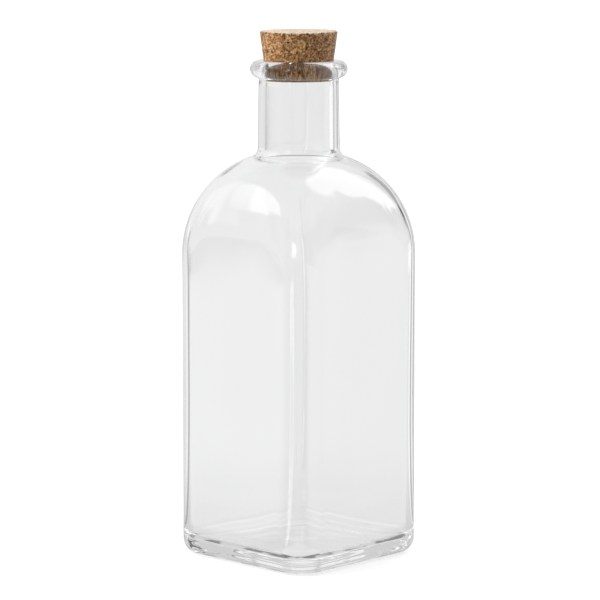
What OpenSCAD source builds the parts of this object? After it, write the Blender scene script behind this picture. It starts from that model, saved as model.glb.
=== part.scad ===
// Square glass bottle with a round neck, closed by a tapered cork stopper.
// The origin is the centre of the base, in the plane that the bottle stands on, with +Z up.

/* [Body] */
// Width of the body across two flat sides
body_w = 68; // [60:1:82]
// Radius of the four upright corners
corner_r = 12.4; // [10:0.2:16]
// Height of the upright sides, up to where the shoulder starts
side_h = 112; // [80:1:160]
// Radius of the heel, between the sides and the base
heel_r = 5.3; // [4:0.1:8]
// Thickness of the glass in the sides and the shoulder
wall_t = 2.5; // [2:0.1:4]
// Thickness of the glass floor at its edge
floor_t = 5; // [4:0.5:8]
// Radius inside, between the floor and the sides
floor_r = 4; // [3:0.5:6]
// Diameter of the shallow hollow under the base
punt_d = 46; // [36:1:50]
// Depth of the hollow under the base
punt_h = 1.6; // [0.8:0.1:2.4]

/* [Shoulder] */
// Radius of the shoulder's arc, seen across two corners
shoulder_r = 37.7; // [33:0.1:41]
// Height above the start of the shoulder at which the flat sides begin to lean in
lean_start = 6; // [2:0.5:8]
// Radius of the arc by which each flat side leans in
lean_r = 38.4; // [37:0.1:43]

/* [Neck] */
// Height of the glass above the shoulder, up to the top of the lip
neck_h = 34.6; // [28:0.2:60]
// Diameter of the neck just under the lip
neck_top_d = 29.3; // [28.5:0.1:31]
// Diameter of the neck at the shoulder
neck_base_d = 30.2; // [29:0.1:32]
// Diameter of the bore in the neck
bore_d = 23.7; // [21.5:0.1:24]
// Radius of the fillet outside, between the neck and the shoulder
neck_fillet_r = 3; // [2:0.5:4]
// Radius of the throat inside, where the bore opens into the shoulder
throat_r = 6; // [5:0.5:7]
// Diameter of the round bead that forms the lip
bead_d = 6.4; // [5.6:0.1:7.4]

/* [Stopper] */
// Diameter of the stopper at its top
stopper_top_d = 28.6; // [27.5:0.1:30]
// Diameter of the stopper at its lower end
stopper_end_d = 24; // [23.8:0.1:25]
// Height of the stopper
stopper_h = 17.5; // [14:0.5:26]
// Depth to which the stopper sits in the mouth
stopper_depth = 6.8; // [4:0.2:8]
// Clearance between the stopper and the mouth, across the radius
stopper_gap = 0.1; // [0.05:0.05:0.3]
// Width of the worn chamfer round the stopper's two edges
stopper_edge = 0.5; // [0.2:0.1:1]

/* [Hidden] */
$fn = 64;
// Distance by which a cutting shape runs past the face that it cuts
cut = 1;
// Overlap by which two curves that flow into each other cross, so that they don't just touch
overlap = 0.01;

// Radius of the turned form, which just clears the rounded corners of the body
turn_r = body_w / sqrt(2) - corner_r * (sqrt(2) - 1) + overlap;
// Radius at which the centre of the shoulder's arc lies
arc_x = turn_r - shoulder_r;
// Height at which the shoulder's arc, if it ran on, would meet the neck
neck_z = side_h + sqrt(pow(shoulder_r, 2) - pow(neck_base_d / 2 - arc_x, 2));
// Heights of the lip's top and of the centre of its bead
lip_z = neck_z + neck_h;
bead_z = lip_z - bead_d / 2;
// Height at which the leaning sides run out into the round shoulder
merge_z = arcs_meet([arc_x, side_h], shoulder_r, [body_w / 2 - lean_r, side_h + lean_start], lean_r);
// Height above which only the turned section limits the body
round_z = (merge_z + neck_z) / 2;
// Radius of the sphere that leaves the hollow under the base
punt_r = (pow(punt_d / 2, 2) + pow(punt_h, 2)) / (2 * punt_h);

// Height of the stopper's lower end
stopper_z = lip_z - stopper_depth;
// Growth of the stopper's radius with height
stopper_slope = (stopper_top_d - stopper_end_d) / 2 / stopper_h;
// Height at which the tapered mouth has narrowed to the bore
mouth_z = stopper_z - (stopper_end_d / 2 + stopper_gap - bore_d / 2) / stopper_slope;

// Radius of the stopper at height z above its lower end
function stopper_r(z) = stopper_end_d / 2 + z * stopper_slope;

// Radius of the tapered mouth at height z
function mouth_r(z) = stopper_r(z - stopper_z) + stopper_gap;

// Height at which an arc of radius r round c and one of radius s round d cross, at their top
function arcs_meet(c, r, d, s) =
    let (
        apart = norm(d - c),
        along = (r * r - s * s + apart * apart) / (2 * apart),
        across = sqrt(r * r - along * along)
    )
    c.y + (along * (d.y - c.y) + across * (c.x - d.x)) / apart;

// Height of the centre of a fillet of radius r between a shoulder arc and an upright wall at x
function fillet_z(x, arc_r, r) = side_h + sqrt(pow(arc_r + r, 2) - pow(x + r - arc_x, 2));

// Half of the upright part of a section, half_w wide, with its foot at z0 rounded by r
module foot_section(half_w, z0, r) {
    translate([0, z0 + r])
        square([half_w, side_h - z0 - r]);
    translate([0, z0])
        square([half_w - r, r]);
    translate([half_w - r, z0 + r])
        intersection() {
            circle(r);
            translate([0, -r])
                square(r);
        }
}

// Half of the part of a section under an arc of radius r round the point (x, z), above z only
module arc_section(x, z, r) {
    intersection() {
        translate([x, z])
            circle(r);
        translate([0, z])
            square([x + r, r]);
    }
}

// Corner between a shoulder arc and an upright wall at x, filled up to a circle of radius r
module fillet_section(x, arc_r, r) {
    centre = [x + r, fillet_z(x, arc_r, r)];
    inward = ([arc_x, side_h] - centre) / (arc_r + r);
    inside = centre + inward * (r + cut);
    difference() {
        polygon([[0, inside.y], inside, centre, [0, centre.y]]);
        translate(centre)
            circle(r + overlap);
    }
}

// Turned section of the glass outside, from the base to the lip
module outer_section() {
    neck_r = neck_base_d / 2;
    foot_section(turn_r, 0, heel_r);
    arc_section(arc_x, side_h, shoulder_r);
    fillet_section(neck_r, shoulder_r, neck_fillet_r);
    polygon([
        [0, side_h],
        [neck_r, side_h],
        [neck_r, fillet_z(neck_r, shoulder_r, neck_fillet_r)],
        [neck_top_d / 2, bead_z],
        [neck_top_d / 2, lip_z],
        [0, lip_z]
    ]);
    translate([neck_top_d / 2, bead_z])
        circle(d = bead_d);
}

// Turned section of the hollow inside, from the floor to above the mouth
module inner_section() {
    arc_r = shoulder_r - wall_t;
    foot_section(turn_r - wall_t, floor_t, floor_r);
    arc_section(arc_x, side_h, arc_r);
    fillet_section(bore_d / 2, arc_r, throat_r);
    polygon([
        [0, side_h],
        [bore_d / 2, side_h],
        [bore_d / 2, mouth_z],
        [mouth_r(lip_z + cut), lip_z + cut],
        [0, lip_z + cut]
    ]);
}

// Section that every flat side follows, upright and then leaning in, inset from the outside by t
module lean_section(t, z0, r) {
    half_w = body_w / 2;
    foot_section(half_w - t, z0, r);
    translate([0, side_h])
        square([half_w - t, lean_start]);
    arc_section(half_w - lean_r, side_h + lean_start, lean_r - t);
}

// That section at its full width, run through the body from side to side
module lean_vault(t, z0, r) {
    rotate([90, 0, 0])
        linear_extrude(body_w + 2 * cut, center = true) {
            lean_section(t, z0, r);
            mirror([1, 0])
                lean_section(t, z0, r);
        }
}

// Plan of the body with its rounded corners, inset from the outside by t
module plan_section(t) {
    straight = body_w - 2 * corner_r;
    square([body_w - 2 * t, straight], center = true);
    square([straight, body_w - 2 * t], center = true);
    for (x = [-1, 1], y = [-1, 1])
        translate([x, y] * straight / 2)
            circle(corner_r - t);
}

// All that the four sides and the rounded corners leave free, and the space round the neck
module within_sides(t, z0, r) {
    intersection() {
        lean_vault(t, z0, r);
        rotate([0, 0, 90])
            lean_vault(t, z0, r);
        linear_extrude(lip_z)
            plan_section(t);
    }
    translate([0, 0, round_z])
        cylinder(h = lip_z + 2 * cut - round_z, r = shoulder_r);
}

// The glass, blown as one piece
module bottle() {
    color([0.9, 0.94, 0.93, 0.35])
        difference() {
            intersection() {
                rotate_extrude()
                    outer_section();
                within_sides(0, 0, heel_r);
            }
            intersection() {
                rotate_extrude()
                    inner_section();
                within_sides(wall_t, floor_t, floor_r);
            }
            translate([0, 0, punt_h - punt_r])
                sphere(punt_r);
        }
}

// The cork, a plain taper with its edges worn
module stopper() {
    color([0.66, 0.47, 0.31])
        translate([0, 0, stopper_z])
            rotate_extrude()
                polygon([
                    [0, 0],
                    [stopper_end_d / 2 - stopper_edge, 0],
                    [stopper_r(stopper_edge), stopper_edge],
                    [stopper_r(stopper_h - stopper_edge), stopper_h - stopper_edge],
                    [stopper_top_d / 2 - stopper_edge, stopper_h],
                    [0, stopper_h]
                ]);
}

bottle();
stopper();
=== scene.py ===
"""Looks of a square glass bottle with a round neck and a tapered cork stopper.

Sizes of the pieces are in millimetres, and their meshes are scaled to metres when they are made. Names that
end in _deg or _m, in small or capital letters, are in degrees or metres.
"""

import math

import bpy
import numpy as np
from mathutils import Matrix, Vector
from mathutils.kdtree import KDTree


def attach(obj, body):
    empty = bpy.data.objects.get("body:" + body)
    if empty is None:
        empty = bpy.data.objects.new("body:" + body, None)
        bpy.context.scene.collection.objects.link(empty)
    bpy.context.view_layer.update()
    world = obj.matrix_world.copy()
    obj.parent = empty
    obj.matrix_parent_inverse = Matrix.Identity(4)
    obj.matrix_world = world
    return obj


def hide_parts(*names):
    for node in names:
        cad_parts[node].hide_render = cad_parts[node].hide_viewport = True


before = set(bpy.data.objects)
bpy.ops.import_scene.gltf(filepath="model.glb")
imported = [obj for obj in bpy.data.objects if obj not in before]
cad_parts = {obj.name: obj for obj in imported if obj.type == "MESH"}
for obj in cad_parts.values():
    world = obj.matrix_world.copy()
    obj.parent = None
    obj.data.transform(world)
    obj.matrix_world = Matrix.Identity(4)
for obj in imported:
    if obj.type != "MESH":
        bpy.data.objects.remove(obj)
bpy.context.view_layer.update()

MM = 0.001
ROOT2 = math.sqrt(2)

# Glass body
BODY_HALF = 34.0
CORNER_R = 12.4
HEEL_R = 5.3
SIDE_TOP = 112.0
WALL = 2.5
FLOOR_Z = 5.0
FLOOR_R = 4.0
PUNT_R = 23.0
PUNT_H = 1.6

# Glass shoulder: one arc across the corners, and a flatter one on the sides
DOME_R = 37.7
DOME_X = BODY_HALF * ROOT2 - CORNER_R * (ROOT2 - 1) - DOME_R
LEAN_Z = 118.0
LEAN_R = 38.4
LEAN_X = BODY_HALF - LEAN_R
LEAN_BLEND = 3.5
BULGE_Z = 104.0
BULGE_RISE = 24.0
ARCH_Z = 106.0
ARCH_DEPTH = 1.5

# Glass neck
LIP_Z = 182.99
NECK_TOP_R = 14.65
NECK_BASE_R = 15.1
NECK_FILLET_R = 3.0
BEAD_R = 3.2
BEAD_Z = LIP_Z - BEAD_R
BEAD_FILLET_R = 1.2
MOUTH_EDGE_R = 0.8
BORE_R = 11.85
THROAT_R = 6.0

# Unevenness of the inner face: how far the wall, the heel and the floor wave, and what is added evenly
WALL_WAVE = 0.22
WALL_ADDED = 0.12
HEEL_WAVE = 0.20
HEEL_ADDED = 0.3
FLOOR_WAVE = 0.03
FLOOR_RISE = 0.5

# Cork
CORK_Z = 176.192
CORK_TOP_Z = 193.69
CORK_END_R = 12.0
CORK_TOP_R = 14.3
CORK_SLOPE = (CORK_TOP_R - CORK_END_R) / (CORK_TOP_Z - CORK_Z)
CORK_GAP = 0.1
CORK_EDGE_R = 0.5

# Cork granules: how many there are, the share that has come out, and the depth of seams, granules, pits and
# chips
GRANULES = 9000
LOST_SHARE = 0.05
SEAM_WIDTH = 0.12
SEAM_DEPTH = 0.10
GRANULE_DEPTH = 0.10
PIT_DEPTH = 0.55
CHIP_REACH = 1.6
CHIP_DEPTH = 0.7

# Cork colours, with the granules' from the darkest to the palest
GRANULE_TONES = (
    (0.0, (0.17, 0.064, 0.018, 1)),
    (0.2, (0.29, 0.12, 0.034, 1)),
    (0.5, (0.42, 0.18, 0.055, 1)),
    (0.8, (0.58, 0.28, 0.09, 1)),
    (1.0, (0.74, 0.40, 0.15, 1)),
)
MOTTLE_TONE = (0.60, 0.31, 0.11, 1)
FLECK_TONE = (1.0, 0.60, 0.25, 1)
SPECK_TONE = (0.08, 0.028, 0.008, 1)
SEAM_TONE = (0.17, 0.075, 0.028, 1)
# Painted shade: the dark colour put into the pits where granules have come out
PIT_SHADE_TONE = (0.09, 0.04, 0.016, 1)
CUT_TONE = (0.60, 0.50, 0.38, 1)

# A ray that has been turned more often than this is taken as trapped in the glass, and the glass glows for it
# at a painted level
TRAPPED_DEPTH = 8.5
# Painted light and shade for a trapped ray that came in from outside: streaks at the heel, an even glow on
# the wall, patches in the lip
HEEL_PAINTED_SHADE, HEEL_PAINTED_LIGHT = 0.12, 1.2
WALL_PAINTED_GLOW = 0.62
LIP_PAINTED_SHADE, LIP_PAINTED_LIGHT = 0.12, 0.68
# Painted glow for one that came in from inside the bottle, low down and at the root of the neck
INNER_FLOOR_PAINTED_GLOW = 0.74
INNER_NECK_PAINTED_GLOW = 0.42

# Camera, as a long lens a little over a metre away, above the top of the cork
CAMERA_AZIMUTH_DEG = 43.8
CAMERA_DISTANCE_M = 1.1499
CAMERA_HEIGHT_M = 0.2638
CAMERA_PITCH_DEG = 8.378
CAMERA_YAW_DEG = 0.0239
LENS_MM = 189.0


def arc(x, z, r, start_deg, end_deg, n):
    """n points of an arc in the plane of the profile, from one angle to the other."""
    a = np.radians(np.linspace(start_deg, end_deg, n))
    return np.column_stack([x + r * np.cos(a), z + r * np.sin(a)])


def line(a, b, n):
    """n points from a to b."""
    return np.linspace(a, b, n)


def soft_min(a, b, width):
    """The smaller of a and b, rounded off where they are within width of each other."""
    h = np.maximum(width - np.abs(a - b), 0) / width
    return np.minimum(a, b) - h * h * width / 4


def smooth_step(value, low, high):
    """0 up to low, 1 from high, and an even curve between them."""
    t = np.clip((value - low) / (high - low), 0, 1)
    return t * t * (3 - 2 * t)


def corner_radius(w, d):
    """Corner radius of the rounded square of half width w that reaches d across its corners."""
    return (w * ROOT2 - d) / (ROOT2 - 1)


def dome_rings(points, inset):
    """Rings (half width, corner radius, height) of a shoulder whose arc across the corners is given."""
    d, z = points[:, 0], points[:, 1]
    rise = np.maximum(z - LEAN_Z, 0)
    w = LEAN_X + np.sqrt(np.maximum((LEAN_R - inset) ** 2 - rise**2, 0))
    w = soft_min(w, d, LEAN_BLEND)
    return np.column_stack([w, corner_radius(w, d), z])


def round_rings(points):
    """Rings of a part that is round: the corner radius is the half width."""
    return np.column_stack([points[:, 0], points[:, 0], points[:, 1]])


def column_angles(flat, corner):
    """Polar angles of the columns: flat columns on each side and corner columns on each corner."""
    edge = math.degrees(math.atan2(BODY_HALF - CORNER_R, BODY_HALF))
    side = np.linspace(-edge, edge, flat, endpoint=False)
    turn = np.linspace(edge, 90 - edge, corner, endpoint=False)
    quarter = np.concatenate([side, turn])
    return np.radians(np.concatenate([quarter + 90 * k for k in range(4)]))


def reach(theta, w, rc, bulge):
    """Distance from the axis to the section at each polar angle.

    The section is a rounded square, blended by bulge towards the superellipse of the same width and diagonal.
    """
    t = np.abs((theta + math.pi / 4) % (math.pi / 2) - math.pi / 4)
    c = w - rc
    flat = w / np.cos(t)
    turn = c * (np.cos(t) + np.sin(t)) + np.sqrt(np.maximum(rc**2 - c**2 * (1 - np.sin(2 * t)), 0))
    square = np.where(np.tan(t) * w <= c, flat, turn)
    diagonal = c * ROOT2 + rc
    power = 1 / np.clip(0.5 - np.log2(diagonal / w), 0.12, 0.5)
    oval = w / (np.cos(t) ** power + np.sin(t) ** power) ** (1 / power)
    return square + bulge * (oval - square)


def ripple(theta, z, seed, waves, around, height):
    """A smooth unevenness, about -1 to 1, that closes on itself around the bottle."""
    rng = np.random.default_rng(seed)
    total = np.zeros(np.broadcast(theta, z).shape)
    for _ in range(waves):
        m = rng.integers(around[0], around[1] + 1)
        n = 2 * math.pi / rng.uniform(*height) * rng.choice([-1, 1])
        total += rng.uniform(0.5, 1) * np.cos(m * theta + n * z + rng.uniform(0, 2 * math.pi))
    return total / math.sqrt(waves)


def new_object(name, verts, faces):
    """A smooth-shaded mesh object from vertices in millimetres."""
    mesh = bpy.data.meshes.new(name)
    mesh.from_pydata((verts * MM).tolist(), [], faces)
    mesh.validate()
    mesh.polygons.foreach_set("use_smooth", [True] * len(mesh.polygons))
    mesh.update()
    obj = bpy.data.objects.new(name, mesh)
    bpy.context.scene.collection.objects.link(obj)
    return obj


def loft_faces(rows, columns):
    """Quads between rows of a closed loft, with a fan to a pole before the first and after the last."""
    first = 1
    i = np.arange(rows - 1)[:, None] * columns + first
    j = np.arange(columns)
    k = (j + 1) % columns
    quads = np.stack(np.broadcast_arrays(i + j, i + k, i + columns + k, i + columns + j), -1)
    faces = quads.reshape(-1, 4).tolist()
    last = first + (rows - 1) * columns
    end = last + columns
    faces += [[0, first + int(b), first + int(a)] for a, b in zip(j, k)]
    faces += [[end, last + int(a), last + int(b)] for a, b in zip(j, k)]
    return faces


def glass_rings():
    """Rings of the whole glass surface, from the middle of the base over the lip to the floor's middle."""
    punt_ball = (PUNT_R**2 + PUNT_H**2) / (2 * PUNT_H)
    r = np.linspace(PUNT_R / 9, PUNT_R, 9)
    punt = np.column_stack([r, r, np.sqrt(punt_ball**2 - r**2) - (punt_ball - PUNT_H)])
    foot = line((PUNT_R, PUNT_R, 0), (BODY_HALF - HEEL_R, CORNER_R - HEEL_R, 0), 6)[1:]
    t = np.radians(np.linspace(0, 90, 17))[1:]
    inset = HEEL_R * (1 - np.sin(t))
    heel = np.column_stack([BODY_HALF - inset, CORNER_R - inset, HEEL_R * (1 - np.cos(t))])
    wall = line((BODY_HALF, CORNER_R, HEEL_R), (BODY_HALF, CORNER_R, SIDE_TOP), 40)[1:-1]

    fillet_x = NECK_BASE_R + NECK_FILLET_R
    fillet_z = SIDE_TOP + math.sqrt((DOME_R + NECK_FILLET_R) ** 2 - (fillet_x - DOME_X) ** 2)
    lean_deg = math.degrees(math.atan2(fillet_z - SIDE_TOP, fillet_x - DOME_X))
    dome = dome_rings(arc(DOME_X, SIDE_TOP, DOME_R, 0, lean_deg, 62), 0)
    fillet = round_rings(arc(fillet_x, fillet_z, NECK_FILLET_R, lean_deg + 180, 180, 10)[1:])

    under_x = NECK_TOP_R + BEAD_FILLET_R
    under_z = BEAD_Z - math.sqrt((BEAD_R + BEAD_FILLET_R) ** 2 - BEAD_FILLET_R**2)
    neck = round_rings(line((NECK_BASE_R, fillet_z), (NECK_TOP_R, under_z), 18)[1:-1])
    turn_deg = math.degrees(math.atan2(BEAD_Z - under_z, NECK_TOP_R - under_x))
    under = round_rings(arc(under_x, under_z, BEAD_FILLET_R, 180, turn_deg, 7))
    bead = round_rings(arc(NECK_TOP_R, BEAD_Z, BEAD_R, turn_deg - 180, 90, 30)[1:])

    slant = math.atan(CORK_SLOPE)
    mouth_lip_r = CORK_END_R + CORK_GAP + CORK_SLOPE * (LIP_Z - CORK_Z)
    edge_z = LIP_Z - MOUTH_EDGE_R
    edge_x = mouth_lip_r - CORK_SLOPE * MOUTH_EDGE_R + MOUTH_EDGE_R / math.cos(slant)
    edge = arc(edge_x, edge_z, MOUTH_EDGE_R, 90, 180 - math.degrees(slant), 8)
    lip = round_rings(line((NECK_TOP_R, LIP_Z), edge[0], 3)[1:-1])
    mouth_z = CORK_Z - (CORK_END_R + CORK_GAP - BORE_R) / CORK_SLOPE
    mouth = round_rings(line(edge[-1], (BORE_R, mouth_z), 10)[1:])

    throat_x = BORE_R + THROAT_R
    inner_dome_r = DOME_R - WALL
    throat_z = SIDE_TOP + math.sqrt((inner_dome_r + THROAT_R) ** 2 - (throat_x - DOME_X) ** 2)
    throat_deg = math.degrees(math.atan2(throat_z - SIDE_TOP, throat_x - DOME_X))
    bore = round_rings(line((BORE_R, mouth_z), (BORE_R, throat_z), 20)[1:-1])
    throat = round_rings(arc(throat_x, throat_z, THROAT_R, 180, 180 + throat_deg, 14))
    inner_dome = dome_rings(arc(DOME_X, SIDE_TOP, inner_dome_r, throat_deg, 0, 56)[1:], WALL)
    half = BODY_HALF - WALL
    corner = CORNER_R - WALL
    inner_wall = line((half, corner, SIDE_TOP), (half, corner, FLOOR_Z + FLOOR_R), 40)[1:]
    t = np.radians(np.linspace(0, 90, 25))[1:]
    inset = FLOOR_R * (1 - np.cos(t))
    cove = np.column_stack([half - inset, corner - inset, FLOOR_Z + FLOOR_R * (1 - np.sin(t))])
    floor = line((half - FLOOR_R, corner - FLOOR_R, FLOOR_Z), (2.0, 2.0, FLOOR_Z), 13)[1:]

    outside = [punt, foot, heel, wall, dome, fillet, neck, under, bead, lip, round_rings(edge), mouth]
    inside = [bore, throat, inner_dome, inner_wall, cove, floor]
    return np.concatenate(outside), np.concatenate(inside)


def make_glass():
    """The bottle: one closed skin, with the small unevenness of moulded glass on its inner face.

    The waves at the heel fade out towards the far side.
    """
    outer, inner = glass_rings()
    theta = column_angles(30, 26)
    rings = np.concatenate([outer, inner])
    w, rc, z = (rings[:, k][:, None] for k in range(3))
    bulge = smooth_step(z, BULGE_Z, BULGE_Z + BULGE_RISE)
    arch = smooth_step(z, ARCH_Z, LEAN_Z + 5) - smooth_step(z, LEAN_Z + 5, LEAN_Z + 26)
    r = reach(theta[None, :], w, rc, bulge + ARCH_DEPTH * arch)
    zz = np.broadcast_to(z, r.shape).copy()

    inside = np.zeros(len(rings))
    inside[len(outer):] = 1
    even = np.clip((165 - rings[:, 2]) / 40, 0, 1) * inside
    low = smooth_step(-rings[:, 2], -11.5, -4.5) * inside
    wave = ripple(theta[None, :], z, 3, 9, (1, 6), (70, 260))
    heel_wave = ripple(theta[None, :], z, 5, 12, (4, 17), (10, 40))
    near_side = np.cos(theta - math.radians(CAMERA_AZIMUTH_DEG - 90))
    heel_wave = heel_wave * smooth_step(near_side, -0.5, 0.3)
    r -= (even[:, None] * (WALL_WAVE * wave + WALL_ADDED)) * np.clip(w / 20, 0, 1)
    r -= (low[:, None] * (HEEL_WAVE * heel_wave + HEEL_ADDED)) * np.clip(w / 20 - 0.4, 0, 1)
    flat = inside * (rings[:, 2] <= FLOOR_Z + 0.001)
    middle = np.clip(1 - r / 30, 0, 1)
    zz += flat[:, None] * (FLOOR_RISE * middle + FLOOR_WAVE * heel_wave * np.clip(r / 20, 0, 1))

    verts = np.stack([r * np.cos(theta), r * np.sin(theta), zz], -1).reshape(-1, 3)
    start = [[0, 0, PUNT_H]]
    end = [[0, 0, zz[-1].mean()]]
    verts = np.concatenate([start, verts, end])
    return new_object("glass_bottle", verts, loft_faces(len(rings), len(theta)))


class Nodes:
    """A short way to add nodes to a tree and link them as they are made."""

    def __init__(self, tree):
        self.tree = tree
        tree.nodes.clear()

    def add(self, kind, inputs=None, **settings):
        node = self.tree.nodes.new(kind)
        for name, value in settings.items():
            setattr(node, name, value)
        for key, value in (inputs or {}).items():
            if isinstance(value, bpy.types.NodeSocket):
                self.tree.links.new(value, node.inputs[key])
            else:
                node.inputs[key].default_value = value
        return node

    def math(self, operation, a, b=0.0, clamp=False):
        node = self.add("ShaderNodeMath", {0: a, 1: b}, operation=operation, use_clamp=clamp)
        return node.outputs[0]

    def vector(self, operation, a, b=(0, 0, 0), out=0):
        return self.add("ShaderNodeVectorMath", {0: a, 1: b}, operation=operation).outputs[out]

    def span(self, value, low, high, to_low=0.0, to_high=1.0):
        inputs = {"Value": value, "From Min": low, "From Max": high, "To Min": to_low, "To Max": to_high}
        return self.add("ShaderNodeMapRange", inputs, interpolation_type="SMOOTHSTEP").outputs[0]

    def mix(self, factor, a, b):
        node = self.add("ShaderNodeMix", data_type="RGBA")
        for socket, value in ((node.inputs[0], factor), (node.inputs[6], a), (node.inputs[7], b)):
            if isinstance(value, bpy.types.NodeSocket):
                self.tree.links.new(value, socket)
            else:
                socket.default_value = value
        return node.outputs[2]

    def noise(self, vector, scale, detail=2.0, roughness=0.5):
        inputs = {"Vector": vector, "Scale": scale, "Detail": detail, "Roughness": roughness}
        return self.add("ShaderNodeTexNoise", inputs).outputs[0]


def material(name):
    mat = bpy.data.materials.new(name)
    mat.use_nodes = True
    return mat, Nodes(mat.node_tree)


def glass_material():
    """Clear glass with a trace of green, faint draw marks and a surface that isn't quite even. Where a ray is
    trapped the glass glows instead, with painted light and shade: streaks at the heel, patches in the lip.
    """
    mat, n = material("clear_glass")
    place = n.add("ShaderNodeTexCoord").outputs["Object"]
    drawn = n.vector("MULTIPLY", place, (1, 1, 0.25))
    broad = n.noise(drawn, 45)
    fine = n.noise(drawn, 260)
    relief = n.math("ADD", broad, n.math("MULTIPLY", fine, 0.08))
    bump = n.add("ShaderNodeBump", {"Strength": 0.05, "Distance": 0.001, "Height": relief})
    tint = n.mix(n.noise(place, 20), (0.985, 0.995, 0.99, 1), (1, 1, 1, 1))
    shader = n.add("ShaderNodeBsdfPrincipled", {
        "Base Color": tint,
        "Roughness": 0.0,
        "IOR": 1.5,
        "Transmission Weight": 1.0,
        "Normal": bump.outputs[0],
    })
    path = n.add("ShaderNodeLightPath")
    trapped = n.math("GREATER_THAN", path.outputs["Ray Depth"], TRAPPED_DEPTH)
    # The heights and the scales of the patterns are in metres, as the mesh is
    # Painted light and shade: trapped rays glow in dark and light streaks at the heel, evenly on the wall,
    # and in dark and light patches in the lip
    painted_streak_noise = n.noise(n.vector("MULTIPLY", place, (1, 1, 8)), 75, 3, 0.6)
    heel = n.span(painted_streak_noise, 0.42, 0.54, HEEL_PAINTED_SHADE, HEEL_PAINTED_LIGHT)
    lip = n.span(n.noise(place, 75, 1, 0.4), 0.40, 0.60, LIP_PAINTED_SHADE, LIP_PAINTED_LIGHT)
    height = n.add("ShaderNodeSeparateXYZ", {0: place}).outputs[2]
    wall = n.span(height, 0.009, 0.016, heel, WALL_PAINTED_GLOW)
    outside = n.add("ShaderNodeMix", {0: n.span(height, 0.150, 0.165), 2: wall, 3: lip}).outputs[0]
    # Painted glow for trapped rays that came in from inside the bottle
    inside = n.span(height, 0.05, 0.12, INNER_FLOOR_PAINTED_GLOW, INNER_NECK_PAINTED_GLOW)
    entered = n.math("GREATER_THAN", path.outputs["Transmission Depth"], 1.5)
    level = n.add("ShaderNodeMix", {0: entered, 2: outside, 3: inside}).outputs[0]
    # The glass glows with this painted light where a ray is trapped
    glow = n.add("ShaderNodeEmission", {"Color": (1, 1, 1, 1), "Strength": level})
    both = n.add("ShaderNodeMixShader", {0: trapped, 1: shader.outputs[0], 2: glow.outputs[0]})
    n.add("ShaderNodeOutputMaterial", {"Surface": both.outputs[0]})
    return mat


def make_cork():
    """The stopper, as pressed granules: sunk seams, granules at uneven heights, pits and a chipped rim."""
    edge = CORK_EDGE_R
    columns = 380
    side = [(CORK_END_R - edge + edge * math.sin(t), CORK_Z + edge - edge * math.cos(t))
            for t in np.radians([0, 22, 45, 68, 90])]
    low, high = side[-1][1], CORK_TOP_Z - edge
    for s in np.linspace(0, 1, 82)[1:]:
        z = low + (high - low) * s
        side.append((CORK_END_R + CORK_SLOPE * (z - CORK_Z), z))
    top_r = side[-1][0]
    side += [(top_r - edge + edge * math.cos(t), CORK_TOP_Z - edge + edge * math.sin(t))
             for t in np.radians([20, 40, 60, 80, 90])]
    below = [(r, CORK_Z) for r in np.linspace(0.6, CORK_END_R - edge, 22)[:-1]]
    above = [(r, CORK_TOP_Z) for r in np.linspace(top_r - edge, 0.35, 56)[1:]]
    rings = np.array(below + side + above)
    theta = np.linspace(0, 2 * math.pi, columns, endpoint=False)
    r, z = rings[:, :1], rings[:, 1:]
    base = np.stack(np.broadcast_arrays(r * np.cos(theta), r * np.sin(theta), z), -1).reshape(-1, 3)
    base = np.concatenate([[[0, 0, CORK_Z]], base, [[0, 0, CORK_TOP_Z]]])

    rng = np.random.default_rng(21)
    seeds = rng.uniform((-16, -16, CORK_Z - 3), (16, 16, CORK_TOP_Z + 3), (GRANULES, 3))
    tree = KDTree(len(seeds))
    for k, p in enumerate(seeds):
        tree.insert(p, k)
    tree.balance()
    tone = rng.uniform(0, 1, len(seeds))
    rise = rng.uniform(0, 1, len(seeds))
    lost = rng.uniform(0, 1, len(seeds)) < LOST_SHARE
    jitter = 0.25 * np.sin(base * 2.1 + 3) + 0.15 * np.sin(base[:, [1, 2, 0]] * 4.7)
    grain = np.empty(len(base))
    seam = np.empty(len(base))
    height = np.empty(len(base))
    pit = np.zeros(len(base))
    for k, p in enumerate(base + jitter):
        (_, a, da), (_, b, db) = tree.find_n(p, 2)
        gap = db - da
        grain[k] = tone[a]
        seam[k] = math.exp(-(gap / SEAM_WIDTH) ** 2)
        height[k] = rise[a]
        pit[k] = min(1, gap / 0.35) if lost[a] else 0.0
    sunk = SEAM_DEPTH * seam + GRANULE_DEPTH * height + PIT_DEPTH * pit
    radius = np.hypot(base[:, 0], base[:, 1])
    chip = np.clip(1 - np.hypot(radius - CORK_TOP_R, base[:, 2] - CORK_TOP_Z) / CHIP_REACH, 0, 1)
    sunk += chip * np.where(np.abs(grain - 0.5) > 0.34, CHIP_DEPTH, 0.05)
    inward = np.stack([-base[:, 0], -base[:, 1], 0 * radius], -1) / np.maximum(radius, 1e-6)[:, None]
    flat_top = base[:, 2] > CORK_TOP_Z - 0.02
    flat_end = base[:, 2] < CORK_Z + 0.02
    inward[flat_top] = (0, 0, -1)
    inward[flat_end] = (0, 0, 1)
    rim = chip[:, None] * np.array([0, 0, -1.0])
    verts = base + inward * sunk[:, None] + rim * sunk[:, None] * 0.7
    verts[:, 2] = np.clip(verts[:, 2], CORK_Z, CORK_TOP_Z)
    obj = new_object("cork_stopper", verts, loft_faces(len(rings), columns))
    for name, values in (("grain", grain), ("seam", seam), ("pit", pit)):
        layer = obj.data.attributes.new(name, "FLOAT", "POINT")
        layer.data.foreach_set("value", values.astype(np.float32))
    return obj


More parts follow.
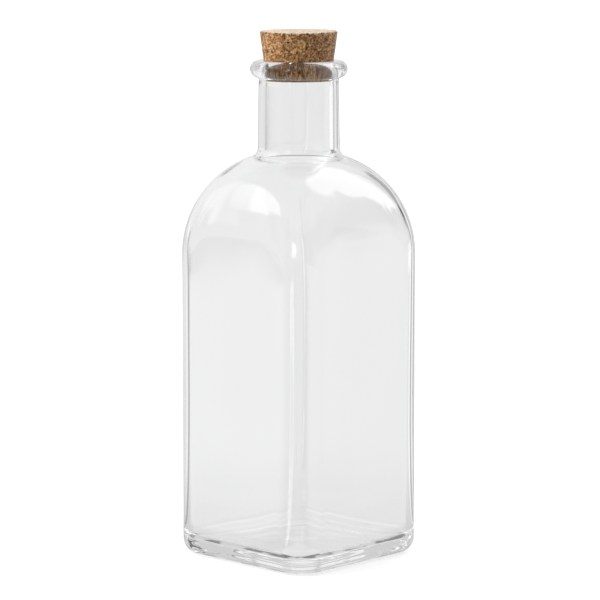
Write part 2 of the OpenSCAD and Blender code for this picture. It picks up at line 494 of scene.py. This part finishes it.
def cork_material():
    """Pressed cork: granules of several browns, dark seams, pits darkened by painted shade, and a paler cut
    top.
    """
    mat, n = material("pressed_cork")
    coord = n.add("ShaderNodeTexCoord")
    place = coord.outputs["Object"]
    grain = n.add("ShaderNodeAttribute", attribute_name="grain").outputs["Fac"]
    seam = n.add("ShaderNodeAttribute", attribute_name="seam").outputs["Fac"]
    pit = n.add("ShaderNodeAttribute", attribute_name="pit").outputs["Fac"]
    ramp = n.add("ShaderNodeValToRGB", {"Fac": grain})
    stops = ramp.color_ramp.elements
    stops[0].position, stops[0].color = GRANULE_TONES[0]
    stops[1].position, stops[1].color = GRANULE_TONES[-1]
    for position, color in GRANULE_TONES[1:-1]:
        stop = stops.new(position)
        stop.color = color
    mottle = n.span(n.noise(place, 700, 4, 0.65), 0.40, 0.66)
    fleck = n.span(n.noise(n.vector("ADD", place, (0.1, 0.2, 0.3)), 1000, 4, 0.75), 0.50, 0.62)
    speck = n.span(n.noise(place, 1250, 3, 0.75), 0.50, 0.60)
    colour = n.mix(n.math("MULTIPLY", mottle, 0.25), ramp.outputs[0], MOTTLE_TONE)
    colour = n.mix(n.math("MULTIPLY", fleck, 0.95), colour, FLECK_TONE)
    colour = n.mix(n.math("MULTIPLY", speck, 0.95), colour, SPECK_TONE)
    colour = n.mix(n.math("MULTIPLY", seam, 0.45), colour, SEAM_TONE)
    # Painted shade darkening the pits
    colour = n.mix(n.math("MULTIPLY", pit, 0.75), colour, PIT_SHADE_TONE)
    up = n.math("ABSOLUTE", n.add("ShaderNodeSeparateXYZ", {0: coord.outputs["Normal"]}).outputs[2])
    pale = n.math("MULTIPLY", n.span(up, 0.45, 0.95), n.span(speck, 0, 1, 0.90, 0.35))
    colour = n.mix(pale, colour, CUT_TONE)
    height = n.math("ADD", n.noise(place, 1500, 3, 0.6), n.math("MULTIPLY", n.noise(place, 600, 2, 0.5), 1.5))
    bump = n.add("ShaderNodeBump", {"Strength": 1.0, "Distance": 0.0004, "Height": height})
    shader = n.add("ShaderNodeBsdfPrincipled", {
        "Base Color": colour,
        "Roughness": n.span(n.noise(place, 400), 0.3, 0.7, 0.62, 0.85),
        "Normal": bump.outputs[0],
    })
    shader.inputs["Specular IOR Level"].default_value = 0.5
    shader.inputs["Sheen Weight"].default_value = 0.25
    shader.inputs["Sheen Roughness"].default_value = 0.5
    n.add("ShaderNodeOutputMaterial", {"Surface": shader.outputs[0]})
    return mat


# Studio, as the glass shows it: white behind the bottle and under it, darker sides that draw its outlines,
# and soft boxes over its shoulders. Directions are in degrees from the near side towards the photograph's
# right, and up.
CAMERA_AZIMUTH = math.radians(CAMERA_AZIMUTH_DEG)
NEAR = Vector((math.sin(CAMERA_AZIMUTH), -math.cos(CAMERA_AZIMUTH), 0))
RIGHT = Vector((-NEAR.y, NEAR.x, 0))
ROOM_LEVEL = 0.08
TABLE_LEVEL = 0.80
BACKDROP_LEFT = 0.895
BACKDROP_RIGHT = 0.855
FILL_LEVEL = 0.75
# The white table: its radius, and how far it lies below the base
TABLE_R_M = 4.0
TABLE_BELOW_M = 0.00002
# How bright it looks next to the bottle, and how bright the glass shows it under the base
TABLE_GLOW = 0.76
UNDER_LEVEL = 0.77
# How bright it is in the shade of the base's near edges, and how far from the middle that shade lies
CONTACT_LEVEL = 0.3
CONTACT_M = 0.0315
# A ray in the glass has crossed both walls when it has passed more surfaces than BOTH_WALLS, and it hasn't
# been turned back if it has met fewer than UNTURNED in all
BOTH_WALLS = 3.5
UNTURNED = 4.5
# Sectors round the bottle that its outlines show: middle and half width in degrees, and how much brighter the
# surroundings are there, nearby and farther than FAR_M
SECTORS = (
    (-124, 4.5, 0.48, 0.72),
    (-141, 6, 1.15, 1.00),
    (121, 5, 1.00, 1.60),
    (132, 2.5, 1.40, 1.30),
    (141, 4, 0.50, 0.60),
    (154, 4, 1.15, 0.95),
    (168, 6, 0.38, 0.45),
)
FAR_M = 0.9
# A narrow light at the front left, which draws the line down the front edge
STRIP_AZIMUTH_DEG = -30
STRIP_HALF_DEG = 2.5
STRIP_LEVEL = 3.2
# Brightness, softness in degrees, and corners (azimuth, elevation) of each soft box
SOFT_BOXES = (
    (2.2, 2.5, ((-108, 38), (-103, 43), (-88, 46), (-76, 43), (-70, 38), (-69, 27), (-92, 20))),
    (1.25, 3.0, ((-124, 22), (-120, 38), (-104, 42), (-95, 19), (-90, 8), (-103, 7))),
    (2.0, 2.5, ((88, 40), (82, 52), (79, 69), (108, 80), (170, 70), (155, 50), (138, 42))),
    (2.0, 1.8, ((119, 12), (111, 17), (103, 24), (96, 46), (137, 50))),
    (2.6, 2.0, ((-44, 4), (-44, 17), (-24, 17), (-24, 4))),
)
# Dark cards that draw the outlines of the shoulders, described in the same way
CARDS = (
    (0.76, 2.5, ((148, 30), (150, 42), (168, 42), (176, 26), (174, 14), (160, 18))),
    (0.40, 1.8, ((124, 16), (126, 24), (148, 28), (158, 23), (161, 17), (158, 12), (150, 11))),
    (0.35, 1.0, ((167.5, 8), (167, 12), (172, 13), (174, 9))),
    (0.30, 0.8, ((-171.5, 10), (-168.5, 14.5), (-160, 18), (-162, 12), (-166, 10.8))),
)
# Lamps that light the cork and the table: azimuth and elevation, and radiance
LAMPS = (
    ("softbox_left", (-78, 40), 8.5),
    ("softbox_right", (138, 42), 6.0),
)
LAMP_DISTANCE_M = 1.1
LAMP_SIZE_M = (0.6, 0.6)
LAMP_TARGET_M = (0, 0, 0.11)


def toward(azimuth_deg, elevation_deg):
    """A direction from the bottle."""
    a, e = math.radians(azimuth_deg), math.radians(elevation_deg)
    return (NEAR * math.cos(a) + RIGHT * math.sin(a)) * math.cos(e) + Vector((0, 0, math.sin(e)))


def azimuth_of(n, flat):
    """Azimuth in degrees of a level direction."""
    facing = n.vector("DOT_PRODUCT", flat, NEAR, out=1)
    sideways = n.vector("DOT_PRODUCT", flat, RIGHT, out=1)
    return n.math("DEGREES", n.math("ARCTAN2", sideways, facing))


def sector(n, azimuth, middle, half, soft):
    """1 within a sector, fading out across its edges."""
    aside = n.math("ABSOLUTE", n.math("SUBTRACT", azimuth, middle))
    return n.span(aside, half + soft, half - soft)


def soft_box(n, direction, corners, soft_deg):
    """1 for directions within the box, which is convex and whose corners go round it one way."""
    points = [toward(*corner) for corner in corners]
    middle = sum(points, Vector((0, 0, 0)))
    soft = math.radians(soft_deg)
    inside = 1.0
    for a, b in zip(points, points[1:] + points[:1]):
        edge = a.cross(b).normalized()
        if edge.dot(middle) < 0:
            edge = -edge
        side = n.span(n.vector("DOT_PRODUCT", direction, edge, out=1), -soft, soft)
        inside = n.math("MULTIPLY", side, inside)
    return inside


def seen_in_glass(n, azimuth, around, far=0.0, low=1.0, clear=1.0):
    """What a ray that leaves the glass towards azimuth shows: light path, 1 if it left glass, and brightness.

    A ray that has crossed both walls shows the white backdrop in front of it, and one turned back by a
    surface shows what is around. The sectors are as bright as far off where far is 1, and they count where
    low is 1. Where clear is 1, a ray that hasn't been turned back shows the backdrop whatever its azimuth.
    """
    for middle, half, gain, far_gain in SECTORS:
        gains = n.add("ShaderNodeMix", {0: far, 2: gain - 1, 3: far_gain - 1}).outputs[0]
        gains = n.math("MULTIPLY", gains, low)
        change = n.math("ADD", n.math("MULTIPLY", sector(n, azimuth, middle, half, 3), gains), 1.0)
        around = n.math("MULTIPLY", around, change)
    path = n.add("ShaderNodeLightPath")
    glassy = n.math("MAXIMUM", path.outputs["Is Glossy Ray"], path.outputs["Is Transmission Ray"])
    aside = n.math("ABSOLUTE", azimuth)
    straight = n.math("MAXIMUM", n.span(aside, 112, 122), n.span(aside, 24, 16))
    unturned = n.math("LESS_THAN", path.outputs["Ray Depth"], UNTURNED)
    straight = n.math("MAXIMUM", straight, n.math("MULTIPLY", unturned, clear))
    crossed = n.math("GREATER_THAN", path.outputs["Transmission Depth"], BOTH_WALLS)
    through = n.math("MULTIPLY", crossed, straight)
    turned = n.math("SINE", n.math("RADIANS", azimuth))
    backdrop = n.span(turned, -0.16, 0.16, BACKDROP_LEFT, BACKDROP_RIGHT)
    level = n.add("ShaderNodeMix", {0: through, 2: around, 3: backdrop}).outputs[0]
    return path, glassy, level


def make_world():
    """White to the camera, and to the glass a backdrop, walls, a ceiling, soft boxes and dark cards."""
    world = bpy.data.worlds.new("studio")
    bpy.context.scene.world = world
    world.use_nodes = True
    n = Nodes(world.node_tree)
    direction = n.vector("NORMALIZE", n.add("ShaderNodeTexCoord").outputs["Generated"])
    azimuth = azimuth_of(n, direction)
    aside = n.math("ABSOLUTE", azimuth)
    # The sine of the elevation
    height = n.add("ShaderNodeSeparateXYZ", {0: direction}).outputs[2]
    backdrop = n.math("MAXIMUM", n.span(azimuth, -113, -121), n.span(azimuth, 138, 146))
    overhead = n.span(height, 0.60, 0.85, (BACKDROP_LEFT + BACKDROP_RIGHT) / 2, 0.5)
    backdrop = n.math("MULTIPLY", backdrop, overhead)
    right_level = n.span(height, 0.20, 0.03, 0.1, TABLE_LEVEL * 0.8)
    right_wall = n.math("MULTIPLY", n.span(azimuth, 40, 70), right_level)
    left_wall = n.math("MULTIPLY", n.span(azimuth, -50, -75), n.span(height, 0.35, 0.60, 0.52, 0.2))
    ceiling = n.span(height, 0.30, 0.65, ROOM_LEVEL, 0.55)
    near_side = n.span(aside, 62, 40, 0, 0.24)
    around = n.math("MAXIMUM", n.math("MAXIMUM", backdrop, ceiling), n.math("MAXIMUM", near_side, right_wall))
    around = n.math("MAXIMUM", around, left_wall)
    for level, soft, corners in SOFT_BOXES:
        around = n.math("MAXIMUM", around, n.math("MULTIPLY", soft_box(n, direction, corners, soft), level))
    for level, soft, corners in CARDS:
        card = soft_box(n, direction, corners, soft)
        around = n.add("ShaderNodeMix", {0: card, 2: around, 3: level}).outputs[0]
    path, glassy, level = seen_in_glass(n, azimuth, around, low=n.span(height, 0.10, 0.04))
    strength = n.math("MAXIMUM", path.outputs["Is Camera Ray"], n.math("MULTIPLY", glassy, level))
    strength = n.math("MAXIMUM", strength, n.math("MULTIPLY", path.outputs["Is Diffuse Ray"], FILL_LEVEL))
    background = n.add("ShaderNodeBackground", {"Color": (1, 1, 1, 1), "Strength": strength})
    n.add("ShaderNodeOutputWorld", {"Surface": background.outputs[0]})


def make_floor():
    """A white table, round and far larger than the bottle, a hair below the bottle's base."""
    columns = 96
    a = np.linspace(0, 2 * math.pi, columns, endpoint=False)
    ring = np.column_stack([np.cos(a) * TABLE_R_M, np.sin(a) * TABLE_R_M, 0 * a - TABLE_BELOW_M]) / MM
    obj = new_object("floor", ring, [list(range(columns))])
    mat, n = material("white_table")
    place = n.add("ShaderNodeTexCoord").outputs["Object"]
    azimuth = azimuth_of(n, place)
    distance = n.vector("LENGTH", place, out=1)
    left = n.math("MULTIPLY", n.span(azimuth, -40, -70), n.span(azimuth, -125, -113))
    far = n.span(distance, 0.75, 1.0, 0, TABLE_LEVEL - ROOM_LEVEL)
    table = n.math("SUBTRACT", TABLE_LEVEL, n.math("MULTIPLY", left, far))
    near_side = n.math("MULTIPLY", n.span(azimuth, -75, -42), n.span(azimuth, 35, 8))
    table = n.math("MULTIPLY", table, n.span(near_side, 0, 1, 1, 0.02))
    weaker = n.math("MULTIPLY", n.span(distance, 0.16, 0.32), n.span(distance, 0.65, 0.45))
    extent = n.math("MULTIPLY", n.span(distance, 0.06, 0.10), n.span(distance, 1.1, 0.8))
    strip = n.math("MULTIPLY", sector(n, azimuth, STRIP_AZIMUTH_DEG, STRIP_HALF_DEG, 1.5),
                   n.math("MULTIPLY", n.span(weaker, 0, 1, STRIP_LEVEL, 0.4 * STRIP_LEVEL), extent))
    shade = n.span(distance, 0.05, 0.20, 0.85, 1.0)
    under = n.span(distance, 0.07, 0.05, 0, UNDER_LEVEL)
    around = n.math("MAXIMUM", n.math("MULTIPLY", n.math("MAXIMUM", table, strip), shade), under)
    far_off = n.span(distance, 0.8 * FAR_M, 1.1 * FAR_M)
    clear = n.span(distance, 0.055, 0.08)
    path, glassy, level = seen_in_glass(n, azimuth, around, far=far_off, clear=clear)
    # Painted shadow: what the glass shows of the table is darker close to the bottle
    level = n.math("MULTIPLY", level, n.span(distance, 0.02, 0.22, 0.93, 1.0))
    across = n.add("ShaderNodeSeparateXYZ", {0: n.vector("ABSOLUTE", place)})
    out = n.math("MAXIMUM", across.outputs[0], across.outputs[1])
    off_edge = n.math("ABSOLUTE", n.math("SUBTRACT", out, CONTACT_M))
    near_half = n.span(n.math("ABSOLUTE", azimuth), 115, 85)
    contact = n.math("MULTIPLY", n.span(off_edge, 0.0045, 0.0015), near_half)
    contact = n.math("MULTIPLY", contact, n.span(n.noise(place, 70, 2, 0.5), 0.44, 0.54, 0.25, 1.0))
    level = n.math("MULTIPLY", level, n.span(contact, 0, 1, 1.0, CONTACT_LEVEL))
    seen = n.add("ShaderNodeEmission", {"Color": (1, 1, 1, 1), "Strength": level})
    own = n.span(distance, 0.10, 0.60, TABLE_GLOW, 1.0)
    own = n.math("MULTIPLY", path.outputs["Is Camera Ray"], own)
    glow = n.add("ShaderNodeEmission", {"Color": (1, 1, 1, 1), "Strength": own})
    matt = n.add("ShaderNodeBsdfDiffuse", {"Color": (0.28, 0.28, 0.28, 1)})
    lit = n.add("ShaderNodeAddShader", {0: glow.outputs[0], 1: matt.outputs[0]})
    both = n.add("ShaderNodeMixShader", {0: glassy, 1: lit.outputs[0], 2: seen.outputs[0]})
    n.add("ShaderNodeOutputMaterial", {"Surface": both.outputs[0]})
    obj.data.materials.append(mat)
    return obj


def make_lamp(name, place_m, target_m, size_m, radiance):
    """A soft box of the given size and brightness, turned to its target, that lights but isn't seen."""
    data = bpy.data.lights.new(name, "AREA")
    data.shape = "RECTANGLE"
    data.size, data.size_y = size_m
    data.energy = radiance * math.pi * size_m[0] * size_m[1]
    lamp = bpy.data.objects.new(name, data)
    lamp.location = place_m
    aim = Vector(target_m) - Vector(place_m)
    lamp.rotation_euler = aim.to_track_quat("-Z", "Y").to_euler()
    lamp.visible_camera = False
    lamp.visible_glossy = False
    lamp.visible_transmission = False
    bpy.context.scene.collection.objects.link(lamp)
    return lamp


def make_camera():
    """The photograph's camera."""
    data = bpy.data.cameras.new("camera")
    data.lens = LENS_MM
    data.sensor_width = 36
    camera = bpy.data.objects.new("camera", data)
    camera.location = NEAR * CAMERA_DISTANCE_M + Vector((0, 0, CAMERA_HEIGHT_M))
    camera.rotation_euler = (
        math.radians(90 - CAMERA_PITCH_DEG), 0, math.radians(CAMERA_AZIMUTH_DEG - CAMERA_YAW_DEG))
    bpy.context.scene.collection.objects.link(camera)
    bpy.context.scene.camera = camera


glass = make_glass()
glass.data.materials.append(glass_material())
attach(glass, "glass")
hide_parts("bottle")

cork = make_cork()
cork.data.materials.append(cork_material())
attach(cork, "cork")
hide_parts("stopper")

make_world()
make_floor()
for name, direction_deg, radiance in LAMPS:
    make_lamp(name, toward(*direction_deg) * LAMP_DISTANCE_M, LAMP_TARGET_M, LAMP_SIZE_M, radiance)
make_camera()
bpy.context.scene.view_settings.view_transform = "Standard"
light_paths = bpy.context.scene.cycles
light_paths.max_bounces = 32
light_paths.glossy_bounces = 24
light_paths.transmission_bounces = 24
